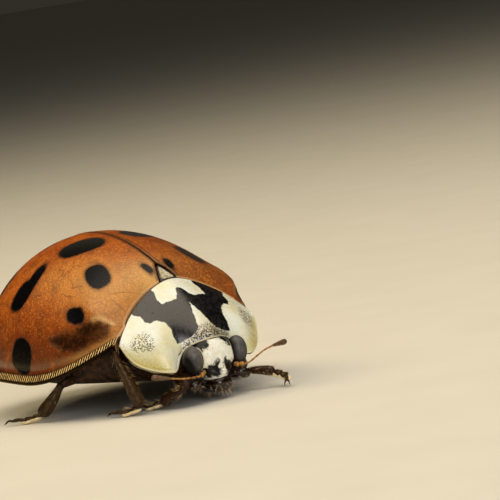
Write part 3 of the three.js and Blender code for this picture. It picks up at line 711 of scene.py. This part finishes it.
# Ivory with pale pits, the black marks, the pale ring and dark groove round the eye,
# and brown below the face.
painted = over(
    (248, 250, 244),
    (between(grain, 0.35, 0.7), (236, 234, 214)),
    (times(pits, 0.35), (160, 148, 110)),
    (between(ragged, 0.05, -0.04), (11, 9, 10)),
    (times(pitted(place, 16, 0.4), between(mark, 0.16, 0)), (44, 36, 30)),
    (times(between(socket_reach, 1.22, 1.15), 0.8), (206, 198, 162)),
    (between(socket_reach, 1.1, 1.06), (14, 10, 9)),
    (read(tree, "below"), (60, 36, 20)))
dress(gloss, {"Base Color": painted, "Normal": embossed(scaled(pits, -0.6, times(grain, 0.4)), 0.25, 0.02),
              "Roughness": scaled(grain, 0.2, 0.22), "Specular IOR Level": 0.3, **waxy})

head = set_piece("head_capsule", bm, face_chitin, "head", "head", "clypeus")
to_marks = [outline_distance(one_side[:, ::2], outline) for outline in (WEDGE, LOWER_MARK)]
note(head, mark=np.minimum(*to_marks), below=1 - rise(0.68, 0.74, z), socket=eye_reach)

# --------------------
# The eyes: smooth black domes of hundreds of tiny lenses, set into the sides of the head. Their grey is
# a painted sheen, with a dark patch where one looks into the lenses, and painted shade low down and
# where they sink into the head.
# --------------------
eye_glass, tree, gloss, place = finish("eye_lenses")
lenses = lay(tree, "TexVoronoi", {"Vector": place, "Scale": 34.0, "Randomness": 0.25}).outputs["Distance"]
cloud = grained(place, 4, 3)
deep = read(tree, "deep")
# The grey is a painted sheen; the deep patch where one looks into the lenses breaks it, and the skirt and
# sunk marks are painted shade low on the eye and where it sinks into the head.
dark = over(
    (86, 84, 86),
    (between(cloud, 0.35, 0.7), (120, 116, 116)),
    (between(lenses, 0.25, 0.55, 0, 0.35), (16, 15, 16)),
    (deep, (3, 2, 4)),
    (read(tree, "skirt"), (20, 13, 9)),
    (read(tree, "sunk"), (10, 8, 8)))
dress(gloss, {"Base Color": dark, "Normal": embossed(lenses, 0.2, 0.01, invert=True),
              "Roughness": scaled(cloud, 0.2, 0.34), "Specular IOR Level": 0.15,
              "Coat Weight": scaled(deep, -0.2, 0.2), "Coat Roughness": 0.2})

for side, name in ((-1, "right"), (1, "left")):
    bm = bmesh.new()
    bmesh.ops.create_uvsphere(bm, u_segments=64, v_segments=40, radius=1)
    bmesh.ops.scale(bm, vec=EYE_RADII, verts=bm.verts)
    bmesh.ops.rotate(bm, cent=(0, 0, 0), matrix=Matrix.Rotation(side * 0.25, 3, "Z"), verts=bm.verts)
    middle = EYE_MIDDLE * (side, 1, 1)
    bmesh.ops.translate(bm, vec=middle, verts=bm.verts)
    points = np.array([vert.co for vert in bm.verts])
    at_head = np.linalg.norm((points - HEAD_MIDDLE) / HEAD_RADII, axis=1)
    outer = (points - middle) * (side, 1, 1)
    eye = set_piece(f"eye_lens_{name}", bm, eye_glass, "eye", f"eye_{name}")
    # Painted shade low on the eye and where it sinks into the head, and the dark patch in the sheen.
    patch = np.linalg.norm((outer - (0.2, -0.03, -0.12)) / (0.15, 0.17, 0.22), axis=1)
    note(eye, deep=np.clip(2.3 - 1.3 * patch, 0, 1), skirt=rise(-0.12, -0.27, outer[:, 2]),
         sunk=rise(1.44, 1.1, at_head))

# --------------------
# The mouthparts: a wide glossy upper lip, two jaws tucked under it, a lower
# lip, and a pair of palps that end in an axe-shaped joint. Brown chitin.
# --------------------
mouth_chitin, tree, gloss, place = finish("mouth_chitin")
grain = grained(place, 12, 5)
brown = over((16, 10, 7), (between(grain, 0.3, 0.7), (44, 26, 15)))
dress(gloss, {"Base Color": brown, "Normal": embossed(grain, 0.2, 0.02),
              "Roughness": scaled(grain, 0.16, 0.1), "Specular IOR Level": 0.35, "Coat Weight": 0.3})


def pebble(middle, radii, turn=(0, 0, 0), squareness=1.0, fine=(32, 20)):
    """A rounded lump with its own three radii; below 1 it is squarer."""
    bm = bmesh.new()
    bmesh.ops.create_uvsphere(bm, u_segments=fine[0], v_segments=fine[1], radius=1)
    unit = np.array([vert.co for vert in bm.verts])
    move_to(bm, np.sign(unit) * np.abs(unit)**squareness * np.array(radii))
    for axis, angle in zip("XYZ", turn):
        bmesh.ops.rotate(bm, cent=(0, 0, 0), matrix=Matrix.Rotation(angle, 3, axis), verts=bm.verts)
    bmesh.ops.translate(bm, vec=middle, verts=bm.verts)
    return bm


def smooth_line(points, count):
    """Evenly spread places along a smooth curve through a few points."""
    points = [Vector(point) for point in points]
    points = [2 * points[0] - points[1], *points, 2 * points[-1] - points[-2]]
    dense = []
    for before, start, end, after in zip(points, points[1:], points[2:], points[3:]):
        for step in range(40):
            t = step / 40
            dense.append(0.5 * (2 * start + (end - before) * t
                                + (2 * before - 5 * start + 4 * end - after) * t**2
                                + (3 * start - before - 3 * end + after) * t**3))
    dense.append(points[-2])
    lengths = np.concatenate([[0], np.cumsum([(b - a).length for a, b in zip(dense, dense[1:])])])
    wanted = np.linspace(0, lengths[-1], count)
    table = np.array(dense)
    return [Vector([float(np.interp(want, lengths, table[:, axis])) for axis in range(3)]) for want in wanted]


def limb(bm, line, girth, broad=(0, 0, 1), flat=1.0, sides=14, count=26):
    """Draws a tapering tube along a line. Each girth entry is (place, radius);
    flat squashes it, and broad is the direction that it is widest in."""
    places = smooth_line(line, count)
    radii = np.interp(np.linspace(0, 1, count), *zip(*girth))
    frames = []
    for k, place in enumerate(places):
        ahead = places[min(k + 1, count - 1)] - places[max(k - 1, 0)]
        ahead.normalize()
        wide = Vector(broad) - ahead * ahead.dot(Vector(broad))
        wide.normalize()
        thin = ahead.cross(wide)
        columns = Matrix((wide * radii[k], thin * radii[k] * flat, ahead * radii[k])).transposed()
        frames.append(Matrix.Translation(place) @ columns.to_4x4())
    ring = bmesh.ops.create_circle(bm, cap_ends=True, segments=sides, radius=1, matrix=frames[0])["verts"]
    edges = list({edge for vert in ring for edge in vert.link_edges})
    made = set(ring)
    for before, after in zip(frames, frames[1:]):
        grown = bmesh.ops.extrude_edge_only(bm, edges=edges)["geom"]
        ring = [item for item in grown if isinstance(item, bmesh.types.BMVert)]
        edges = [item for item in grown if isinstance(item, bmesh.types.BMEdge)]
        bmesh.ops.transform(bm, matrix=after @ before.inverted(), verts=ring)
        made.update(ring)
    bmesh.ops.contextual_create(bm, geom=edges)
    faces = list({face for vert in made for face in vert.link_faces})
    bmesh.ops.recalc_face_normals(bm, faces=faces)
    return bm


UPPER_LIP = ((0.04, -1.5, 0.59), (0.27, 0.18, 0.19))
LOWER_LIP = ((0, -1.14, 0.47), (0.22, 0.26, 0.12))
bm = pebble(*UPPER_LIP, (0.35, 0, 0), 0.95)
set_piece("upper_lip", bm, mouth_chitin, "mouthparts", "labrum")
set_piece("lower_lip", pebble(*LOWER_LIP), mouth_chitin, "mouthparts", "labium")
for side, name in ((-1, "right"), (1, "left")):
    bm = pebble((side * 0.22, -1.36, 0.53), (0.1, 0.19, 0.09), (0.2, 0, side * 0.35), 0.9)
    set_piece(f"jaw_{name}", bm, mouth_chitin, "mouthparts", f"mandible_{name}")
    bm = bmesh.new()
    limb(bm, [(side * 0.34, -1.28, 0.66), (side * 0.43, -1.4, 0.73), (side * 0.5, -1.48, 0.76)],
         [(0, 0.05), (0.4, 0.06), (0.5, 0.045), (0.9, 0.07), (1, 0.05)], count=14)
    limb(bm, [(side * 0.48, -1.47, 0.76), (side * 0.66, -1.52, 0.7), (side * 0.84, -1.52, 0.63)],
         [(0, 0.04), (0.2, 0.09), (0.6, 0.125), (0.85, 0.1), (0.97, 0.05), (1, 0.02)],
         broad=(0, -0.3, 1), flat=0.8, count=18)
    set_piece(f"palp_joints_{name}", bm, mouth_chitin, "mouthparts", f"palp_{name}")

# --------------------
# The feelers: eleven small joints each, tan and half clear, on a thicker base
# joint, ending in a club of three. The left one is raised, the right folded.
# --------------------
FEELER_LINES = {
    "left": [(0.42, -1.53, 0.95), (0.55, -1.74, 0.94), (0.68, -1.82, 0.99), (0.94, -1.97, 1.18),
             (1.2, -2.0, 1.25), (1.62, -1.97, 1.26)],
    "right": [(-0.42, -1.53, 0.95), (-0.6, -1.63, 0.9), (-0.84, -1.64, 0.91), (-1.12, -1.6, 0.94),
              (-1.36, -1.53, 0.99), (-1.74, -1.32, 1.07)],
}
feeler_chitin, tree, gloss, place = finish("feeler_chitin")
grain = grained(place, 16, 4)
tan = over((178, 130, 62), (between(grain, 0.35, 0.7), (118, 76, 30)), (read(tree, "club"), (56, 36, 16)))
dress(gloss, {"Base Color": tan, "Normal": embossed(grain, 0.3, 0.01), "Roughness": scaled(grain, 0.2, 0.25),
              "Subsurface Weight": 0.2, "Subsurface Scale": 0.0001})


def jointed(count, thick, waist):
    """Girths of a run of small joints, each narrow where it meets the next."""
    girths = []
    for k in range(count):
        for part, share in ((0.04, waist), (0.3, 0.9), (0.75, 1.0), (0.96, waist)):
            girths.append(((k + part) / count, thick * share))
    return girths


CLUB = [(0, 0.024), (0.12, 0.034), (0.3, 0.046), (0.34, 0.038), (0.4, 0.05), (0.62, 0.062), (0.66, 0.052),
        (0.72, 0.07), (0.93, 0.066), (1, 0.04)]
for name, line in FEELER_LINES.items():
    root, tip = ([start, (Vector(start) + Vector(end)) / 2, end] for start, end in (line[:2], line[4:]))
    for label, node, part, girth, count, dark in (
            ("root", "base", root, jointed(2, 0.062, 0.6), 22, 0.0),
            ("thread", "stalk", line[1:5], jointed(6, 0.024, 0.65), 60, 0.0),
            ("tip", "club", tip, CLUB, 40, 0.8)):
        bm = limb(bmesh.new(), part, girth, flat=0.85, count=count, sides=12)
        piece = set_piece(f"feeler_{label}_{name}", bm, feeler_chitin, "feeler", f"feeler_{node}_{name}")
        note(piece, club=dark)

# --------------------
# Breast and belly: the plates under the shells, dark brown and finely pitted.
# The belly is banded by its rings; the breast carries the hips.
# --------------------
belly_chitin, tree, gloss, place = finish("belly_chitin")
grain = grained(place, 9, 5)
pits = pitted(place, 15, 0.3)
rust = over((24, 14, 8), (between(grain, 0.35, 0.7), (74, 46, 22)), (times(pits, 0.5), (30, 18, 12)))
dress(gloss, {"Base Color": rust, "Normal": embossed(scaled(pits, -0.6, grain), 0.35, 0.03),
              "Roughness": scaled(grain, 0.3, 0.4), "Specular IOR Level": 0.2})
# How far the trunk stays inside the shells, and how high the belly is off the ground.
UNDER_SHELLS = 0.6
BELLY_HEIGHT = 0.6


def trunk_piece(front, back, grooves):
    """A length of the body under the shells, closed at both ends."""
    bm, u, v = sheet_of(96, 48)
    y = front + (back - front) * v
    reach = WING_LENGTH - WIDEST_AT
    read_at = np.where(y < WIDEST_AT, y, WIDEST_AT + (y - WIDEST_AT) * reach / (reach - UNDER_SHELLS))
    width = np.maximum(0.02, wing_half_width(read_at) - UNDER_SHELLS)
    low = edge_height(read_at)
    top = np.maximum(0.03, crown_height(read_at) - UNDER_SHELLS - low)
    belly = BELLY_HEIGHT + (low - 0.14 - BELLY_HEIGHT) * rise(3.4, 5.0, y)
    turn = u * 2 * math.pi
    up = np.sin(turn) >= 0
    bend = np.abs(np.sin(turn))
    z = np.where(up, low + top * bend**0.95, low - (low - belly) * bend**0.6)
    points = np.column_stack([width * np.cos(turn), y, z])
    for groove in grooves:
        pinch = 0.03 * hump(y, groove, 0.03)
        points[:, 2] += np.where(up, 0, pinch)
        points[:, 0] *= 1 - pinch * 0.4
    move_to(bm, points)
    bmesh.ops.remove_doubles(bm, verts=bm.verts, dist=0.002)
    bmesh.ops.holes_fill(bm, edges=[edge for edge in bm.edges if edge.is_boundary], sides=0)
    bmesh.ops.recalc_face_normals(bm, faces=bm.faces)
    return bm


for label, slot, node, bm in (
        ("belly_rings", "abdomen", "abdomen", trunk_piece(2.02, 5.0, (2.5, 2.95, 3.4, 3.8, 4.15, 4.5))),
        ("breast_back", "breast_plate", "metathorax", trunk_piece(0.93, 2.0, (1.5,))),
        ("breast_middle", "breast_plate", "mesothorax", trunk_piece(-0.28, 0.91, (0.4,))),
        ("breast_front", "breast_plate", "prosternum",
         pebble((0, -0.66, 1.32), (1.42, 0.52, 0.66), fine=(48, 32)))):
    set_piece(label, bm, belly_chitin, slot, node)

# --------------------
# The legs: hip, thigh, ridged shin and a foot of two padded lobes, a slender
# last joint and two claws. Amber-brown chitin, tucked close under the shells.
# --------------------
# Hip, knee, ankle, the joint of the claws, and the claws' tips.
LEG_LINES = {
    "front_right": ((-0.36, -0.45, 0.82), (-0.96, -1.42, 0.47), (-1.16, -0.74, 0.17), (-1.3, -0.34, 0.09),
                    (-1.34, 0.02, 0.07)),
    "front_left": ((0.36, -0.45, 0.82), (0.86, -1.12, 0.44), (1.34, -1.74, 0.36), (1.42, -2.04, 0.24),
                   (1.2, -2.3, 0.08)),
    "middle_right": ((-0.86, 0.55, 0.9), (-1.95, -0.33, 1.44), (-1.73, -0.69, 0.19), (-1.94, -0.34, 0.1),
                     (-2.14, 0.04, 0.07)),
    "middle_left": ((0.86, 0.55, 0.9), (1.9, 0.36, 1.08), (2.25, 0.75, 0.19), (2.4, 1.08, 0.1),
                    (2.6, 1.4, 0.07)),
    "hind_right": ((-0.8, 1.72, 0.86), (-2.5, 1.16, 0.86), (-2.62, 1.96, 0.18), (-2.88, 2.34, 0.1),
                   (-3.18, 2.72, 0.07)),
    "hind_left": ((0.8, 1.72, 0.86), (2.44, 1.35, 0.84), (2.66, 2.18, 0.18), (2.9, 2.54, 0.1),
                  (3.18, 2.94, 0.07)),
}
THIGH = [(0, 0.06), (0.06, 0.11), (0.3, 0.18), (0.6, 0.19), (0.85, 0.16), (0.95, 0.13), (1, 0.06)]
SHIN = [(0, 0.06), (0.04, 0.105), (0.12, 0.095), (0.5, 0.145), (0.82, 0.18), (0.93, 0.17), (0.98, 0.12),
        (1, 0.07)]

leg_chitin, tree, gloss, place = finish("leg_chitin")
grain = grained(place, 11, 5)
pits = pitted(place, 22, 0.3)
# Amber-brown, dark at the joints, with painted shade over the whole of the front legs.
amber = over(
    (72, 48, 17),
    (between(grain, 0.3, 0.7), (36, 25, 9)),
    (times(pits, 0.4), (52, 28, 12)),
    (read(tree, "knee"), (44, 22, 12)))
dress(gloss, {"Base Color": amber, "Normal": embossed(scaled(pits, -0.5, grain), 0.3, 0.02),
              "Roughness": scaled(grain, 0.3, 0.28), "Specular IOR Level": 0.22})

pad_felt, tree, gloss, place = finish("pad_felt")
nap = grained(place, 40, 3)
dress(gloss, {"Base Color": over((248, 236, 198), (nap, (230, 204, 146))),
              "Normal": embossed(nap, 0.5, 0.02), "Roughness": scaled(nap, 0.2, 0.6)})


def girthed(shape, by):
    """A limb's girths, all of them stouter or thinner."""
    return [(share, radius * by) for share, radius in shape]


leg_tubes = {}
TO_LEVEL = BODY.inverted() @ GROUND
for name, (hip, knee, ankle, toe, tip) in LEG_LINES.items():
    hip = Vector(hip)
    knee, ankle, toe, tip = (TO_LEVEL @ Vector(point) for point in (knee, ankle, toe, tip))
    out = (knee - hip).normalized()
    start = hip + out * 0.2
    bulge = start.lerp(knee, 0.5) + Vector((0, 0, 0.03))
    bend = (knee - start).cross(ankle - knee).normalized()
    bm = pebble(hip, (0.32, 0.22, 0.2), (0, 0, math.atan2(out.y, out.x)), fine=(24, 16))
    piece = set_piece(f"hip_{name}", bm, leg_chitin, "leg", f"coxa_{name}")
    note(piece, knee=0.5)
    # The front legs get painted shade all over, for the shadow under the head.
    darker = 0.75 if "front" in name else 0.0
    bm = limb(bmesh.new(), [start, bulge, knee], girthed(THIGH, 1.25 if name == "front_right" else 1),
              broad=(knee - ankle), flat=0.62)
    along = np.array([(vert.co - start).length for vert in bm.verts]) / (knee - start).length
    piece = set_piece(f"thigh_{name}", bm, leg_chitin, "leg", f"femur_{name}")
    note(piece, knee=np.maximum(darker, 0.85 * rise(0.8, 0.97, along)))
    stout = {"front_right": 1.0, "front_left": 0.65}.get(name, 1.15)
    shin = [knee, knee.lerp(ankle, 0.5) + bend.cross(ankle - knee).normalized() * 0.03, ankle]
    bm = limb(bmesh.new(), shin, girthed(SHIN, stout), broad=bend.cross(ankle - knee), flat=0.75)
    along = np.array([(vert.co - knee).length for vert in bm.verts]) / (ankle - knee).length
    piece = set_piece(f"shin_{name}", bm, leg_chitin, "leg", f"tibia_{name}")
    note(piece, knee=np.maximum(darker, 0.7 * rise(0.16, 0.02, along) + 0.5 * rise(0.9, 1, along)))
    # The foot: two lobes with a pale pad under each, the last joint, two claws.
    floorward = (TO_LEVEL.to_3x3() @ Vector((0, 0, 1))).normalized()
    across = floorward.cross(tip - ankle).normalized()
    first = ankle.lerp(toe, 0.55)
    foot, pads = bmesh.new(), bmesh.new()
    for heel, end, thick, flat in ((ankle, first, (0.08, 0.11), 0.55), (first, toe, (0.09, 0.115), 0.5)):
        girth = [(0, 0.05), (0.3, thick[0]), (0.8, thick[1]), (1, 0.06)]
        limb(foot, [heel, heel.lerp(end, 0.5), end], girth, broad=across, flat=flat, count=12, sides=12)
        forward = (end - heel).normalized()
        axes = Matrix((forward * 0.15, across * 0.11, across.cross(forward) * 0.05)).transposed().to_4x4()
        under = Matrix.Translation(heel.lerp(end, 0.62) - floorward * 0.05) @ axes
        bmesh.ops.create_uvsphere(pads, u_segments=20, v_segments=12, radius=1, matrix=under)
    last = toe.lerp(tip, 0.62) + floorward * 0.03
    limb(foot, [toe, toe.lerp(last, 0.5) + floorward * 0.02, last], [(0, 0.035), (0.7, 0.045), (1, 0.03)],
         count=12, sides=10)
    for sign in (-1, 1):
        hook = tip + across * sign * 0.07
        limb(foot, [last, last.lerp(hook, 0.5) + floorward * 0.035, hook - floorward * 0.02],
             [(0, 0.028), (0.6, 0.018), (1, 0.004)], count=9, sides=8)
    piece = set_piece(f"foot_{name}", foot, leg_chitin, "leg", f"tarsus_{name}")
    note(piece, knee=0.15)
    set_piece(f"foot_pads_{name}", pads, pad_felt, "leg")
    leg_tubes[name] = (start, bulge, knee, shin, toe)

# --------------------
# The hairs: short golden bristles on the legs and a thin beard at the mouth.
# Each is a fine tapering spike with its root sunk into the plate it grows on.
# --------------------
# How many hairs, how long they are (mm) and how thick the limb is they sit on.
HAIRS = {"thigh": (34, 0.09, 0.15), "shin": (70, 0.1, 0.14), "foot": (30, 0.09, 0.1)}
BEARD = [(*UPPER_LIP, 34, 0.15), (*LOWER_LIP, 30, 0.14),
         ((-0.7, -1.5, 0.68), (0.14, 0.1, 0.1), 12, 0.1), ((0.7, -1.5, 0.68), (0.14, 0.1, 0.1), 12, 0.1)]
HAIR_THICK = 0.0036
CLEAR_OF_FLOOR = 0.00002
hair_chitin, tree, gloss, place = finish("hair_chitin")
streaks = grained(place, 6, 2)
dress(gloss, {"Base Color": over((240, 214, 158), (streaks, (200, 158, 96))),
              "Normal": embossed(streaks, 0.1, 0.01), "Roughness": scaled(streaks, 0.2, 0.3)})


def grow(bm, root, lean, length):
    """One hair, from just under the skin out along the way it leans."""
    stand = lean.to_track_quat("Z", "Y").to_matrix().to_4x4()
    lean = lean.normalized()
    if (BODY @ (root + lean * length)).z < CLEAR_OF_FLOOR:
        return False
    middle = Matrix.Translation(root + lean * length / 2)
    bmesh.ops.create_cone(bm, cap_ends=True, segments=4, radius1=HAIR_THICK, radius2=HAIR_THICK * 0.2,
                          depth=length, matrix=middle @ stand)
    return True


random.seed(7)
bm = bmesh.new()
roots = []
limbs = [(part, line) for start, bulge, knee, shin, toe in leg_tubes.values()
         for part, line in (("thigh", [start, bulge, knee]), ("shin", shin), ("foot", [shin[-1], toe]))]
for number, (part, line) in enumerate(limbs):
    count, length, thick = HAIRS[part]
    for _ in range(count):
        along, around = random.uniform(0.08, 0.96), random.uniform(0, 2 * math.pi)
        k = min(int(along * (len(line) - 1)), len(line) - 2)
        ahead = (line[k + 1] - line[k]).normalized()
        side = ahead.orthogonal().normalized()
        away = side * math.cos(around) + ahead.cross(side) * math.sin(around)
        root = line[k].lerp(line[k + 1], along * (len(line) - 1) - k) + away * thick * 0.45
        lean = away + ahead * random.uniform(0.7, 1.3)
        if grow(bm, root, lean, thick * 0.5 + length * random.uniform(0.7, 1.2)):
            roots.append(((number + around / 2 / math.pi) / (len(limbs) + len(BEARD)), along))
for number, (middle, radii, count, length) in enumerate(BEARD, len(limbs)):
    for _ in range(count):
        turn, fall = random.uniform(math.pi, 2 * math.pi), random.uniform(-1, 0.2)
        level = math.sqrt(1 - fall**2)
        out = Vector((math.cos(turn) * level, math.sin(turn) * level, fall))
        root = Vector(middle) + Vector([a * b * 0.85 for a, b in zip(out, radii)])
        if grow(bm, root, out + Vector((0, -0.4, -0.5)), length * random.uniform(0.7, 1.3)):
            roots.append(((number + turn / 2 / math.pi) / (len(limbs) + len(BEARD)), (1 - fall) / 2))
# Each hair has its own small place in the map that its colours are baked to.
PLACE_IN_MAP = 0.0015
bake = bm.loops.layers.uv.new("OFBake")
bm.faces.ensure_lookup_table()
faces_each = len(bm.faces) // len(roots)
for number, face in enumerate(bm.faces):
    across, along = roots[number // faces_each]
    for corner, loop in enumerate(face.loops):
        turn = corner * math.pi / 2
        loop[bake].uv = (across + PLACE_IN_MAP * math.cos(turn),
                         0.01 + 0.98 * along + PLACE_IN_MAP * math.sin(turn))
set_piece("hairs", bm, hair_chitin, "leg")
